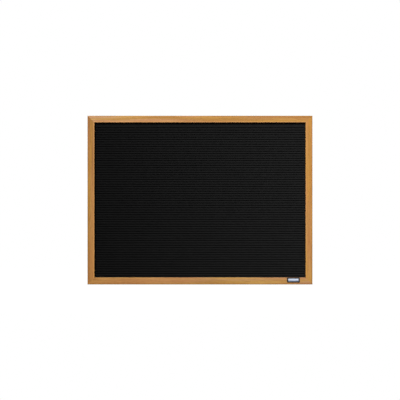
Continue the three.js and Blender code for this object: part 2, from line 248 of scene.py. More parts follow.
def make_camera():
    """A long lens in front of the board, so far off that the board has its width in the picture."""
    lens = bpy.data.cameras.new("camera")
    lens.lens = CAMERA_LENS
    per_pixel = BOARD_SIZE.x / PHOTO_BOARD_WIDTH
    distance = per_pixel * PHOTO_SIDE * lens.lens / lens.sensor_width
    camera = bpy.data.objects.new("camera", lens)
    camera.location = MM * Vector((
        BOARD_CENTRE.x + (PHOTO_SIDE / 2 - PHOTO_CENTRE[0]) * per_pixel,
        BOARD_LOW.y - distance,
        BOARD_CENTRE.z + (PHOTO_CENTRE[1] - PHOTO_SIDE / 2) * per_pixel,
    ))
    camera.rotation_euler = (math.pi / 2, 0, 0)
    bpy.context.scene.collection.objects.link(camera)
    bpy.context.scene.camera = camera


make_camera()


# Shader nodes: inputs go by name, or by number on a node that has some of the same name

def linear(code):
    """An sRGB hex colour as the linear RGBA of a shader socket."""
    channels = [int(code[i:i + 2], 16) / 255 for i in (1, 3, 5)]
    return [c / 12.92 if c <= 0.04045 else ((c + 0.055) / 1.055) ** 2.4 for c in channels] + [1.0]


def fill(tree, node, inputs):
    """Sets a node's inputs, and links those whose value is another node's output."""
    for name, value in inputs.items():
        if isinstance(value, bpy.types.NodeSocket):
            tree.links.new(value, node.inputs[name])
        else:
            node.inputs[name].default_value = value


def add(tree, kind, inputs=None, **settings):
    """Adds a node, sets its properties, fills its inputs and gives its first output, if it has one."""
    node = tree.nodes.new(kind)
    for name, value in settings.items():
        setattr(node, name, value)
    fill(tree, node, inputs or {})
    return next((socket for socket in node.outputs if socket.enabled), None)


def new_surface(name, **sockets):
    """A material with its shader's constant sockets set, and the object's place in millimetres."""
    material = bpy.data.materials.new(name)
    material.use_nodes = True
    tree = material.node_tree
    shader = tree.nodes["Principled BSDF"]
    fill(tree, shader, {socket.replace("_", " "): value for socket, value in sockets.items()})
    place = add(tree, "ShaderNodeTexCoord").node.outputs["Object"]
    in_mm = add(tree, "ShaderNodeVectorMath", {0: place, "Scale": 1 / MM}, operation="SCALE")
    return material, tree, shader, in_mm


def stretched_noise(tree, place, lengths, **inputs):
    """Noise whose features have the given lengths along X, Y and Z, in millimetres."""
    scaled = add(tree, "ShaderNodeVectorMath", {0: place, 1: lengths}, operation="DIVIDE")
    return add(tree, "ShaderNodeTexNoise", {"Vector": scaled, "Scale": 1.0, **inputs})


def laid_over(tree, base, colour, pattern, start, end, most=1.0, mode="MIX"):
    """A base colour with another laid over it, more of it as the pattern goes from start to end."""
    share = add(tree, "ShaderNodeMapRange", {0: pattern, 1: start, 2: end, 4: most})
    return add(tree, "ShaderNodeMix", {0: share, 6: base, 7: colour}, data_type="RGBA", blend_type=mode)


# Materials

def growth_bands(tree, grain):
    """The bands of growth in oak: how far the wood is open early wood, nought in the dense late wood."""
    axes = add(tree, "ShaderNodeSeparateXYZ", {"Vector": grain}).node.outputs
    sway = stretched_noise(tree, grain, (160, 14, 14), Detail=2.0)
    across = add(tree, "ShaderNodeMath", {0: axes[1], 1: GROWTH_LEAN_SHARE, 2: axes[2]},
                 operation="MULTIPLY_ADD")
    across = add(tree, "ShaderNodeMath", {0: sway, 1: GROWTH_SWAY, 2: across}, operation="MULTIPLY_ADD")
    band = add(tree, "ShaderNodeMath", {0: across, 1: GROWTH_BAND}, operation="DIVIDE")
    band = add(tree, "ShaderNodeMath", {0: band}, operation="FRACT")
    return add(tree, "ShaderNodeMapRange", {0: band, 1: 0.6, 2: 0.95}, interpolation_type="SMOOTHSTEP")


def open_pores(tree, grain, early):
    """Short dashes along the grain, most of them in the early wood."""
    pore = stretched_noise(tree, grain, (5.5, 0.26, 0.26), Detail=1.0)
    pore = add(tree, "ShaderNodeMapRange", {0: pore, 1: 0.6, 2: 0.65})
    porous = add(tree, "ShaderNodeMath", {0: early, 1: 0.75, 2: 0.25}, operation="MULTIPLY_ADD")
    return add(tree, "ShaderNodeMath", {0: pore, 1: porous}, operation="MULTIPLY")


def lacquered_oak(node, board, light, dark, low_end, high_end, lip_shade, rub_and_highlight):
    """Straight-grained oak under satin lacquer: bands of growth along the rail, tan where it is dense
    and browner where it is open, in streaks that lean to gold or to salmon, with dark pore dashes and
    pale ray flecks. Each rail is cut from another board, drifts from one tint to another along its
    length, and has darkened at its outer edge, where the frame is held. Towards its inner edge it is
    worn paler by fingers and letters and carries a painted highlight, and along the very lip it
    carries a painted shade, of a width set for each rail."""
    material, tree, shader, in_mm = new_surface(
        "lacquered_oak_" + node, IOR=1.5, Coat_Weight=0.06, Coat_Roughness=0.45, Specular_IOR_Level=0.28)
    run, side = (0, 2) if node.startswith("rail") else (2, 0)
    turn = (0, 0, 0) if run == 0 else (0, math.pi / 2, 0)
    grain = add(tree, "ShaderNodeMapping", {"Vector": in_mm, "Rotation": turn, "Location": board})
    place = add(tree, "ShaderNodeSeparateXYZ", {"Vector": in_mm}).node.outputs

    early = growth_bands(tree, grain)
    pore = open_pores(tree, grain, early)
    streak = stretched_noise(tree, grain, (130, 5.5, 5.5), Detail=2.0, Roughness=0.55)
    blush = stretched_noise(tree, grain, (180, 6.5, 6.5), Detail=1.0, Distortion=0.3)
    drift = stretched_noise(tree, grain, (120, 30, 30), Detail=1.0)
    fibre = stretched_noise(tree, grain, (14, 0.28, 0.28), Detail=3.0, Roughness=0.65)
    ray = stretched_noise(tree, grain, (8, 1.2, 1.2), Detail=1.0)
    outward = add(tree, "ShaderNodeMath", {0: place[side], 1: BOARD_CENTRE[side]}, operation="SUBTRACT")
    outward = add(tree, "ShaderNodeMath", {0: outward}, operation="ABSOLUTE")
    edge = BOARD_SIZE[side] / 2

    wood = laid_over(tree, linear(light), linear(dark), streak, 0.36, 0.64)
    wood = laid_over(tree, wood, linear("#ffffd0"), blush, 0.5, 0.38, 1.0, "MULTIPLY")
    wood = laid_over(tree, wood, linear("#fff6fc"), blush, 0.5, 0.62, 1.0, "MULTIPLY")
    ends = laid_over(tree, linear(low_end), linear(high_end), place[run], BOARD_LOW[run], BOARD_HIGH[run])
    wood = add(tree, "ShaderNodeMix", {0: 1.0, 6: wood, 7: ends}, data_type="RGBA",
               blend_type="MULTIPLY")
    wood = laid_over(tree, wood, linear("#f4dcd6"), drift, 0.35, 0.65, 0.4, "MULTIPLY")
    wood = laid_over(tree, wood, linear("#c9aa82"), early, 0, 1, 0.6, "MULTIPLY")
    wood = laid_over(tree, wood, linear("#c4ab8c"), fibre, 0.35, 0.7, 0.55, "MULTIPLY")
    wood = laid_over(tree, wood, linear("#e2bd85"), ray, 0.66, 0.74, 0.12)
    wood = laid_over(tree, wood, linear("#58361a"), pore, 0, 1, 0.8)
    wood = laid_over(tree, wood, linear("#f6ece0"), outward, edge - HELD_EDGE, edge, 1.0, "MULTIPLY")
    lip = edge - RAIL_WIDTH
    lip_shade_edge = lip + lip_shade
    # Paler towards the inner edge: wear, with a painted highlight laid in, as strong as this rail's share
    wood = laid_over(tree, wood, linear("#ffb868"), outward, lip + WORN_HIGHLIT_EDGE, lip + WORN_HIGHLIT_EDGE / 2,
                     rub_and_highlight)
    # Painted shade along the very lip, as wide as this rail's lip shade
    wood = laid_over(tree, wood, linear("#4a3018"), outward, lip_shade_edge, lip_shade_edge - LIP_SHADE_FADE, 0.85)
    rough = add(tree, "ShaderNodeMapRange", {0: fibre, 1: 0.3, 2: 0.7, 3: 0.44, 4: 0.58})
    sunk = add(tree, "ShaderNodeMath", {0: pore, 1: -1.0, 2: fibre}, operation="MULTIPLY_ADD")
    bump = add(tree, "ShaderNodeBump", {"Height": sunk, "Strength": 0.35, "Distance": 0.08 * MM})
    fill(tree, shader, {"Base Color": wood, "Roughness": rough, "Normal": bump})
    return material


def pressed_felt(low, high):
    """Black wool-blend felt, pressed and pushed into the slots: no gloss, a mottled nap, and short
    fibres lying all ways, of which some catch the light. The lands hold a little lint, and carry a
    painted light that makes them steadily lighter towards the right side. The slots carry a painted
    shade, lightened towards the right by the same painted light, and the edges under the lips of the
    top rail and left stile carry a painted shadow."""
    material, tree, shader, in_mm = new_surface(
        "pressed_felt", IOR=1.45, Roughness=0.95, Sheen_Weight=0.02, Sheen_Roughness=0.5,
        Specular_IOR_Level=0.08)
    axes = add(tree, "ShaderNodeSeparateXYZ", {"Vector": in_mm}).node.outputs
    nap = stretched_noise(tree, in_mm, (9, 9, 9), Detail=3.0)
    pile = stretched_noise(tree, in_mm, (0.45, 0.45, 0.45), Detail=4.0, Roughness=0.7)
    # Painted light: the felt grows steadily lighter from the left side to the right
    tone = laid_over(tree, linear("#111111"), linear("#252525"), axes[0], low.x, high.x)
    tone = laid_over(tree, tone, linear("#808080"), pile, 0.35, 0.65, 0.65, "MULTIPLY")
    tone = laid_over(tree, tone, linear("#c8c8c8"), nap, 0.35, 0.65, 0.25, "MULTIPLY")
    for turn in FIBRE_TURNS:
        way = add(tree, "ShaderNodeMapping", {"Vector": in_mm, "Rotation": (0, math.radians(turn), 0)})
        fibre = stretched_noise(tree, way, (3.2, 0.2, 0.2), Detail=1.0)
        tone = laid_over(tree, tone, linear("#383838"), fibre, 0.66, 0.74, 0.35)
    # Painted shade down in the slots, darkest at the left and lightened towards the right by painted light
    slot = laid_over(tree, linear("#545454"), linear("#9c9c9c"), axes[0], low.x, high.x)
    tone = laid_over(tree, tone, slot, axes[1], low.y + SLOT_SHADE_START, low.y + GROOVE_SHOULDER,
                     1.0, "MULTIPLY")
    # Painted shadow of the lips of the left stile and top rail on the felt's edges
    left, top = BOARD_LOW.x + RAIL_WIDTH, BOARD_HIGH.z - RAIL_WIDTH
    tone = laid_over(tree, tone, linear("#101010"), axes[0], left + LEFT_SHADE, left + FULL_SHADE,
                     1.0, "MULTIPLY")
    tone = laid_over(tree, tone, linear("#101010"), axes[2], top - TOP_SHADE, top - FULL_SHADE,
                     1.0, "MULTIPLY")
    bump = add(tree, "ShaderNodeBump", {"Height": pile, "Strength": 0.4, "Distance": 0.2 * MM})
    fill(tree, shader, {"Base Color": tone, "Normal": bump})
    return material


def screen_back_hardboard():
    """Wet-pressed hardboard with its screen side out: brown, matt and mottled, with loose dark
    shives in it and the print of the wire screen that it was pressed on."""
    material, tree, shader, in_mm = new_surface(
        "screen_back_hardboard", IOR=1.5, Roughness=0.72, Specular_IOR_Level=0.35)
    cloud = stretched_noise(tree, in_mm, (55, 55, 40), Detail=4.0, Roughness=0.6)
    pulp = stretched_noise(tree, in_mm, (2.6, 2.6, 2.6), Detail=5.0, Roughness=0.7)
    shive = stretched_noise(tree, in_mm, (1.6, 0.6, 0.5), Detail=2.0)
    tone = laid_over(tree, linear("#6b4a2f"), linear("#a07a50"), pulp, 0, 1)
    tone = laid_over(tree, tone, linear("#c4b39f"), cloud, 0.3, 0.7, 0.4, "MULTIPLY")
    tone = laid_over(tree, tone, linear("#3f2817"), shive, 0.62, 0.7, 0.6)
    # A wave of scale 1 repeats every tau / 20 units
    scale = math.tau / 20 / SCREEN_WIRE_SPACING
    wires = [add(tree, "ShaderNodeTexWave", {"Vector": in_mm, "Scale": scale, "Distortion": 0.25},
                 bands_direction=way) for way in "XZ"]
    weave = add(tree, "ShaderNodeMath", {0: wires[0], 1: wires[1]}, operation="MULTIPLY")
    bump = add(tree, "ShaderNodeBump", {"Height": weave, "Strength": 0.5, "Distance": 0.25 * MM})
    fill(tree, shader, {"Base Color": tone, "Normal": bump})
    return material


def raw_fibreboard():
    """Medium-density fibreboard, sawn and left raw: even tan with a fine felted grain."""
    material, tree, shader, in_mm = new_surface("raw_fibreboard", IOR=1.5, Roughness=0.9)
    pulp = stretched_noise(tree, in_mm, (1.1, 1.1, 1.1), Detail=5.0, Roughness=0.7)
    tone = laid_over(tree, linear("#7d5f41"), linear("#a5855f"), pulp, 0, 1)
    bump = add(tree, "ShaderNodeBump", {"Height": pulp, "Strength": 0.3, "Distance": 0.1 * MM})
    fill(tree, shader, {"Base Color": tone, "Normal": bump})
    return material


def rolled_steel(name, light, dark, rough):
    """Cold-rolled mild steel, stamped or drawn and then bright zinc plated: silvery, with a faintly
    cloudy film, fine rolling lines and duller handling marks."""
    material, tree, shader, in_mm = new_surface(name, Metallic=1.0)
    cloud = stretched_noise(tree, in_mm, (3.5, 3.5, 3.5), Detail=3.0)
    line = stretched_noise(tree, in_mm, (0.2, 0.2, 4.0), Detail=3.0)
    mark = stretched_noise(tree, in_mm, (1.4, 1.4, 1.4), Detail=4.0, Roughness=0.7)
    tone = laid_over(tree, linear(light), linear(dark), cloud, 0.35, 0.65)
    worn = add(tree, "ShaderNodeMapRange", {0: mark, 1: 0.35, 2: 0.7, 3: rough - 0.06, 4: rough + 0.14})
    bump = add(tree, "ShaderNodeBump", {"Height": line, "Strength": 0.12, "Distance": 0.02 * MM})
    fill(tree, shader, {"Base Color": tone, "Roughness": worn, "Normal": bump})
    return material


def moulded_rubber():
    """Black moulded rubber: dull, with a trace of grey dust."""
    material, tree, shader, in_mm = new_surface("moulded_rubber", IOR=1.52, Specular_IOR_Level=0.4)
    dust = stretched_noise(tree, in_mm, (0.8, 0.8, 0.8), Detail=5.0, Roughness=0.75)
    tone = laid_over(tree, linear("#141414"), linear("#3a3a38"), dust, 0.45, 0.8)
    rough = add(tree, "ShaderNodeMapRange", {0: dust, 1: 0.3, 2: 0.7, 3: 0.55, 4: 0.8})
    fill(tree, shader, {"Base Color": tone, "Roughness": rough})
    return material


def moulded_black():
    """Black ABS with the fine grain of a spark-eroded mould."""
    material, tree, shader, in_mm = new_surface("moulded_black", IOR=1.53)
    grain = stretched_noise(tree, in_mm, (0.25, 0.25, 0.25), Detail=2.0)
    tone = laid_over(tree, linear("#070708"), linear("#121214"), grain, 0, 1)
    rough = add(tree, "ShaderNodeMapRange", {0: grain, 1: 0.3, 2: 0.7, 3: 0.34, 4: 0.48})
    bump = add(tree, "ShaderNodeBump", {"Height": grain, "Strength": 0.25, "Distance": 0.04 * MM})
    fill(tree, shader, {"Base Color": tone, "Roughness": rough, "Normal": bump})
    return material


def two_tone_foil(low, high):
    """A printed satin foil: a plain pale field over a slate band, brushed along X, with a black keyline
    round them."""
    material, tree, shader, in_mm = new_surface("two_tone_foil", IOR=1.5, Roughness=0.4)
    axes = add(tree, "ShaderNodeSeparateXYZ", {"Vector": in_mm}).node.outputs
    edge = low.z + (high.z - low.z) * SLATE_SHARE
    brushed = stretched_noise(tree, in_mm, (3.0, 1.0, 0.12), Detail=2.0)
    pale = laid_over(tree, linear("#c1cde4"), linear("#dce7f9"), brushed, 0.3, 0.7)
    slate = laid_over(tree, linear("#8592ac"), linear("#9ca9c1"), brushed, 0.3, 0.7)
    tone = laid_over(tree, slate, pale, axes[2], edge, edge + FOIL_FADE)
    for axis, end, inwards in ((0, low.x, 1), (0, high.x, -1), (2, low.z, 1), (2, high.z, -1)):
        start = end + inwards * KEYLINE
        full = start - inwards * FOIL_FADE
        tone = laid_over(tree, tone, linear("#0c0c0e"), axes[axis], start, full)
    fill(tree, shader, {"Base Color": tone})
    return material


# Each rail's board: a place in the tree, its light and dark wood, the tints at its two ends, the
# width of the painted shade along its lip and how strongly its inner edge is worn paler and painted with a
# highlight
OAK_BOARDS = {
    "rail_top": ((640, 12, 45), "#d6ab77", "#c59663", "#ffffff", "#fdeeaa", 2.2, 0.5),
    "rail_bottom": ((430, 37, 61), "#deb17c", "#ca9a66", "#ede8b6", "#ffffff", 0.4, 0.1),
    "stile_left": ((260, 83, 17), "#c99750", "#b48342", "#ffffff", "#eaeaea", 0.9, 0.2),
    "stile_right": ((170, 59, 97), "#dfaa5f", "#d09b51", "#ffffff", "#fff8e6", 1.3, 0.24),
}
OAK = {node: lacquered_oak(node, *board) for node, board in OAK_BOARDS.items()}
ZINC = rolled_steel("bright_zinc_plate", "#dee2e5", "#c8ccd0", 0.28)
SCREW_ZINC = rolled_steel("screw_zinc_plate", "#e2e3df", "#cbccc7", 0.24)
SPRING_STEEL = rolled_steel("spring_steel", "#a3a6aa", "#85878b", 0.3)


# Making pieces

def link_object(name, mesh):
    """Puts a mesh in the scene as an object."""
    piece = bpy.data.objects.new(name, mesh)
    bpy.context.scene.collection.objects.link(piece)
    return piece


def face_outwards(shape):
    """Turns the faces of a mesh the same way, and outwards where it is closed."""
    bmesh.ops.recalc_face_normals(shape, faces=shape.faces)
    if shape.calc_volume(signed=True) < 0:
        bmesh.ops.reverse_faces(shape, faces=shape.faces)


def piece_from(name, points, faces):
    """An object from points in millimetres and faces."""
    mesh = bpy.data.meshes.new(name)
    mesh.from_pydata([Vector(point) * MM for point in points], [], faces)
    shape = bmesh.new()
    shape.from_mesh(mesh)
    face_outwards(shape)
    shape.to_mesh(mesh)
    shape.free()
    return link_object(name, mesh)


def settle(piece):
    """Makes what the modifiers show the piece's own mesh."""
    bpy.context.view_layer.update()
    graph = bpy.context.evaluated_depsgraph_get()
    mesh = bpy.data.meshes.new_from_object(piece.evaluated_get(graph))
    piece.modifiers.clear()
    piece.data = mesh


def carve(piece, cutter):
    """Takes the cutter's shape out of the piece."""
    cut = piece.modifiers.new("cut", "BOOLEAN")
    cut.object = cutter
    cut.solver = "EXACT"
    settle(piece)
    bpy.data.objects.remove(cutter)


def finish_piece(piece, body, slot, material, *nodes, crease=35):
    """Smooths the piece below a crease angle, and says what it is made of, rides on and stands for."""
    piece.data.materials.clear()
    piece.data.materials.append(material)
    for face in piece.data.polygons:
        face.use_smooth = True
    piece.data.set_sharp_from_angle(angle=math.radians(crease))
    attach(piece, body)
    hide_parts(*nodes)
    return piece


def dress_node(node, material):
    """Gives a carried-over CAD node its material."""
    data = frame["nodes"][node].data
    data.materials.clear()
    data.materials.append(material)


def evenly(start, end, steps):
    """Evenly spaced values, both ends included."""
    return [start + (end - start) * i / steps for i in range(steps + 1)]


def arc(centre, radius, start, end, steps):
    """Points of an arc in a plane, both ends included, angles in degrees."""
    angles = [math.radians(angle) for angle in evenly(start, end, steps)]
    return [(centre[0] + radius * math.cos(a), centre[1] + radius * math.sin(a)) for a in angles]


def circle(radius, steps=32):
    """A round outline."""
    return arc((0, 0), radius, 0, 360 * (1 - 1 / steps), steps - 1)


def rounded_rectangle(width, height, corner, inset=0.0, steps=6):
    """An outline with four round corners, drawn in by the inset."""
    right, top = width / 2 - corner, height / 2 - corner
    corners = ((right, top, 0), (-right, top, 90), (-right, -top, 180), (right, -top, 270))
    return [point for x, y, start in corners
            for point in arc((x, y), corner - inset, start, start + 90, steps)]


def stack(rings):
    """Points and faces that join rings of equally many points, with a flat cap at each end."""
    count = len(rings[0])
    points = [point for ring in rings for point in ring]
    faces = [tuple(range(count)), tuple(range(len(points) - count, len(points)))]
    for i in range(len(rings) - 1):
        for j in range(count):
            k = (j + 1) % count
            faces.append((i * count + j, i * count + k, (i + 1) * count + k, (i + 1) * count + j))
    return points, faces


def eased_levels(thickness, ease, steps=3):
    """Insets and heights that round both edges of a sheet."""
    quarter = [math.radians(angle) for angle in evenly(0, 90, steps)]
    foot = [(ease * (1 - math.sin(a)), ease * (1 - math.cos(a))) for a in quarter]
    return foot + [(inset, thickness - up) for inset, up in reversed(foot)]


def stamping(name, outlines, thickness, ease, cuts, fold):
    """Sheet metal that is blanked flat and then folded. Each outline is a function of its inset,
    cuts are the places along the blank where it bends, and fold gives where a point of it ends."""
    shape = bmesh.new()
    caps = ([], [])
    for outline in outlines:
        rings = [[shape.verts.new((*point, up)) for point in outline(inset)]
                 for inset, up in eased_levels(thickness, ease)]
        for lower, upper in zip(rings, rings[1:]):
            for j in range(len(lower)):
                shape.faces.new((lower[j - 1], lower[j], upper[j], upper[j - 1]))
        for cap, ring in zip(caps, (rings[0], rings[-1])):
            cap += [shape.edges.get((ring[j - 1], ring[j])) for j in range(len(ring))]
    for cap in caps:
        bmesh.ops.triangle_fill(shape, edges=cap, use_beauty=True)
    for cut in cuts:
        parts = shape.verts[:] + shape.edges[:] + shape.faces[:]
        bmesh.ops.bisect_plane(
            shape, geom=parts, dist=CUT_SNAP, plane_co=(cut, 0, 0), plane_no=(1, 0, 0))
    for point in shape.verts:
        point.co = fold(*point.co) * MM
    face_outwards(shape)
    mesh = bpy.data.meshes.new(name)
    shape.to_mesh(mesh)
    shape.free()
    return link_object(name, mesh)


# Oak rails

def rail_place(node):
    """Says how far along, how far in from the outer edge and how deep a point of a rail lies."""
    back = BOARD_HIGH.y
    return {
        "rail_top": lambda s, u, v: (s, back + v, BOARD_HIGH.z - u),
        "rail_bottom": lambda s, u, v: (s, back + v, BOARD_LOW.z + u),
        "stile_left": lambda s, u, v: (BOARD_LOW.x + u, back + v, BOARD_CENTRE.z + s),
        "stile_right": lambda s, u, v: (BOARD_HIGH.x - u, back + v, BOARD_CENTRE.z + s),
    }[node]


def rail_section():
    """The moulding's outline as (inwards, depth): rounded in front, rebated behind."""
    front = BOARD_LOW.y - BOARD_HIGH.y
    lip = span("felt_face")[0].y - BOARD_HIGH.y
    outline = arc((FRONT_ROUND, front + FRONT_ROUND), FRONT_ROUND, 180, 270, 8)
    outline += arc((RAIL_WIDTH - FRONT_ROUND, front + FRONT_ROUND), FRONT_ROUND, 270, 360, 8)
    outline += arc((RAIL_WIDTH - ARRIS, lip - ARRIS), ARRIS, 0, 90, 3)
    outline += [(STRIP_WIDTH, lip)]
    outline += arc((STRIP_WIDTH - ARRIS, -ARRIS), ARRIS, 0, 90, 3)
    outline += arc((BACK_ROUND, -BACK_ROUND), BACK_ROUND, 90, 180, 6)
    return outline


def v_nail_plan():
    """The V-nail's slot seen from behind, apex towards +X."""
    half = V_NAIL_GAUGE / 2 + V_NAIL_CLEARANCE
    leg = V_NAIL_LEG + V_NAIL_CLEARANCE
    sine, cosine = math.sin(V_NAIL_HALF_ANGLE), math.cos(V_NAIL_HALF_ANGLE)
    upper = [
        (half / sine, 0),
        (half * sine - leg * cosine, leg * sine + half * cosine),
        (-half * sine - leg * cosine, leg * sine - half * cosine),
        (-half / sine, 0),
    ]
    return upper + [(x, -y) for x, y in upper[2:0:-1]]


def rail_cutter(node, length, screws):
    """The slots for V-nails and the pilot holes for screws, as one object."""
    place = rail_place(node)
    points, faces = [], []

    def add_hole(outline, floor):
        rings = [[place(s, u, v) for s, u in outline] for v in (floor, CUT_OVERRUN)]
        more_points, more_faces = stack(rings)
        faces.extend(tuple(i + len(points) for i in face) for face in more_faces)
        points.extend(more_points)

    for share in V_NAIL_APEX_SHARES:
        reach = share * STRIP_WIDTH
        for side in (-1, 1):
            turn = Matrix.Rotation(math.atan2(1, -side), 2)
            start = Vector((side * (length / 2 - reach), reach))
            outline = [tuple(start + turn @ Vector(point)) for point in v_nail_plan()]
            add_hole(outline, -V_NAIL_SINK - V_NAIL_DEPTH - V_NAIL_CLEARANCE)
    for screw in screws:
        centre, low = middle(screw), span(screw)[0]
        along = centre.x if node.startswith("rail") else centre.z - BOARD_CENTRE.z
        inwards = {
            "rail_top": BOARD_HIGH.z - centre.z,
            "rail_bottom": centre.z - BOARD_LOW.z,
            "stile_left": centre.x - BOARD_LOW.x,
            "stile_right": BOARD_HIGH.x - centre.x,
        }[node]
        hole = [(along + x, inwards + y) for x, y in circle(SCREW_HOLE_RADIUS, 24)]
        add_hole(hole, low.y - BOARD_HIGH.y - SCREW_TIP_CLEARANCE)
    return piece_from("rail_cutter", points, faces)


def make_rail(node, screws):
    """One mitred rail with its rebate, rounded edges, slots and holes."""
    place = rail_place(node)
    length = BOARD_SIZE.x if node.startswith("rail") else BOARD_SIZE.z
    pull_back = MITRE_GLUE_LINE * math.sqrt(0.5)
    rings = [[place(share * (length / 2 - u - pull_back), u, v) for u, v in rail_section()]
             for share in evenly(-1, 1, RAIL_STEPS)]
    rail = piece_from(node + "_oak", *stack(rings))
    carve(rail, rail_cutter(node, length, screws))
    finish_piece(rail, "board", "oak", OAK[node], node)


make_rail("rail_top", ["button_screw_top_left", "button_screw_top_right"])
make_rail("rail_bottom", ["button_screw_bottom_left", "button_screw_bottom_right"])
make_rail("stile_left", ["button_screw_left_upper", "button_screw_left_lower", "hanger_screw_left"])
make_rail("stile_right", ["button_screw_right_upper", "button_screw_right_lower", "hanger_screw_right"])

for nail in frame["nodes"]:
    if nail.startswith("v_nail"):
        dress_node(nail, SPRING_STEEL)


# Felt, tucked into the slots

def sheet_faces(columns, rows):
    """The faces of a closed sheet whose points are its face, column by column, and then its back."""
    side = (columns + 1) * rows
    faces = []
    for i in range(columns):
        for j in range(rows - 1):
            corner = i * rows + j
            quad = (corner, corner + 1, corner + rows + 1, corner + rows)
            faces += [quad, tuple(index + side for index in quad)]
    rim = [i * rows for i in range(columns + 1)]
    rim += [columns * rows + j for j in range(1, rows)]
    rim += [i * rows + rows - 1 for i in reversed(range(columns))]
    rim += reversed(range(1, rows - 1))
    return faces + [(a, b, b + side, a + side) for a, b in zip(rim, rim[1:] + rim[:1])]


def felt_path():
    """The felt's face from foot to top: depth, height and the direction of its back."""
    low, high = span("felt_face")
    front = low.y
    half = GROOVE_WIDTH / 2
    bend = front + GROOVE_SHOULDER
    floor = front + GROOVE_DEPTH - half
    first = BOARD_HIGH.z - RAIL_WIDTH - FIRST_GROOVE_DROP
    last = BOARD_LOW.z + RAIL_WIDTH + LEAST_LAST_LAND
    path = [(front, low.z, 1, 0)]
    for i in reversed(range(int((first - last) / GROOVE_PITCH) + 1)):
        z = first - i * GROOVE_PITCH
        below, above = z - half - GROOVE_SHOULDER, z + half + GROOVE_SHOULDER
        for y, height in arc((bend, below), GROOVE_SHOULDER, 180, 90, 4):
            path.append((y, height, (bend - y) / GROOVE_SHOULDER, (below - height) / GROOVE_SHOULDER))
        for y, height in arc((floor, z), half, -90, 90, 4):
            path.append((y, height, (y - floor) / half, (height - z) / half))
        for y, height in arc((bend, above), GROOVE_SHOULDER, 270, 180, 4):
            path.append((y, height, (bend - y) / GROOVE_SHOULDER, (above - height) / GROOVE_SHOULDER))
    path.append((front, high.z, 1, 0))
    return path


def make_felt():
    """The felt sheet, a little uneven along each slot as pressed cloth is."""
    low, high = span("felt_face")
    path = felt_path()
    columns = 28
    along, deep, up = FELT_WANDER_LENGTHS
    face, back = [], []
    for x in evenly(low.x, high.x, columns):
        for y, z, y_back, z_back in path:
            sunk = min(1.0, (y - low.y) / GROOVE_SHOULDER)
            z += FELT_WANDER * sunk * noise.noise(Vector((x / along, y / deep, z / up)))
            face.append((x, y, z))
            back.append((x, min(y + y_back * FELT_THICKNESS, high.y), z + z_back * FELT_THICKNESS))
    felt = piece_from("felt_sheet", face + back, sheet_faces(columns, len(path)))
    finish_piece(felt, "board", "felt", pressed_felt(low, high), "felt_face", crease=60)


make_felt()


# Boards behind the felt

def make_backing():
    """The hardboard panel with its sawn edges taken off."""
    low, high = span("backing_board")
    centre = (low + high) / 2
    size = high - low
    rings = [[(centre.x + x, low.y + up, centre.z + z)
              for x, z in rounded_rectangle(size.x, size.z, HARDBOARD_CORNER, inset, 4)]
             for inset, up in eased_levels(size.y, HARDBOARD_EASE)]
    board = piece_from("screen_back_board", *stack(rings))
    finish_piece(board, "board", "hardboard", screen_back_hardboard(), "backing_board")


dress_node("grooved_board", raw_fibreboard())
make_backing()


# Turn buttons

def make_turn_button(place, along):
    """A flat steel button on its screw, with the end of its tongue turned up off the board."""
    node = "turn_button_" + place
    low, high = span(node)
    size = high - low
    hub = middle("button_screw_" + place)
    across = along.cross(Vector((0, 1, 0)))
    hub_radius = min(size.x, size.z) / 2
    reach = max(size.x, size.z) - hub_radius - BUTTON_TIP_RADIUS
    tangent = math.degrees(math.acos((hub_radius - BUTTON_TIP_RADIUS) / reach))
    bend = reach + BUTTON_TIP_RADIUS - BUTTON_LIFT_LENGTH
    rise = (size.y - BUTTON_THICKNESS) / (1 - BUTTON_BEND_SHARE / 2)

    def blank(inset):
        hub_side = arc((0, 0), hub_radius - inset, tangent, 360 - tangent, 40)
        return hub_side + arc((reach, 0), BUTTON_TIP_RADIUS - inset, -tangent, tangent, 20)

    def fold(s, t, up):
        share = max(0.0, (s - bend) / BUTTON_LIFT_LENGTH)
        if share < BUTTON_BEND_SHARE:
            lift = rise * share * share / (2 * BUTTON_BEND_SHARE)
        else:
            lift = rise * (share - BUTTON_BEND_SHARE / 2)
        return Vector((hub.x, low.y + up + lift, hub.z)) + along * s + across * t

    bent = BUTTON_LIFT_LENGTH * BUTTON_BEND_SHARE
    cuts = [bend + along_bend for along_bend in evenly(0, bent, BUTTON_BEND_STEPS)]
    outlines = (blank, lambda inset: circle(BUTTON_BORE / 2 + inset))
    button = stamping("pressed_button_" + place, outlines, BUTTON_THICKNESS, BUTTON_EASE, cuts, fold)
    finish_piece(button, "button_" + place, "zinc_steel", ZINC, node)


# Which way each button's tongue points at rest
BUTTONS = {
    "top_left": (0, 0, -1),
    "top_right": (0, 0, -1),
    "bottom_left": (0, 0, 1),
    "bottom_right": (0, 0, 1),
    "left_upper": (1, 0, 0),
    "left_lower": (1, 0, 0),
    "right_upper": (-1, 0, 0),
    "right_lower": (-1, 0, 0),
}
for place, along in BUTTONS.items():
    make_turn_button(place, Vector(along))


# Hangers

def strap_line(s, drop):
    """Depth, height and heading of the folded strap's middle line, a length s from its outer end,
    seen from the side with the ring's bar at nought."""
    loop, turn = STRAP_LOOP_RADIUS, STRAP_LOOP_RADIUS - STRAP_GAUGE
    s -= drop - loop - turn
    if s < 0:
        return -turn, s - loop - turn, math.pi / 2
    if s < turn * math.pi / 2:
        heading = math.pi / 2 - s / turn
        return -turn * math.sin(heading), turn * math.cos(heading) - loop - turn, heading
    s -= turn * math.pi / 2
    if s < loop * math.pi * 1.5:
        heading = s / loop
        return loop * math.sin(heading), -loop * math.cos(heading), heading
    return -loop, loop * math.pi * 1.5 - s, math.pi * 1.5


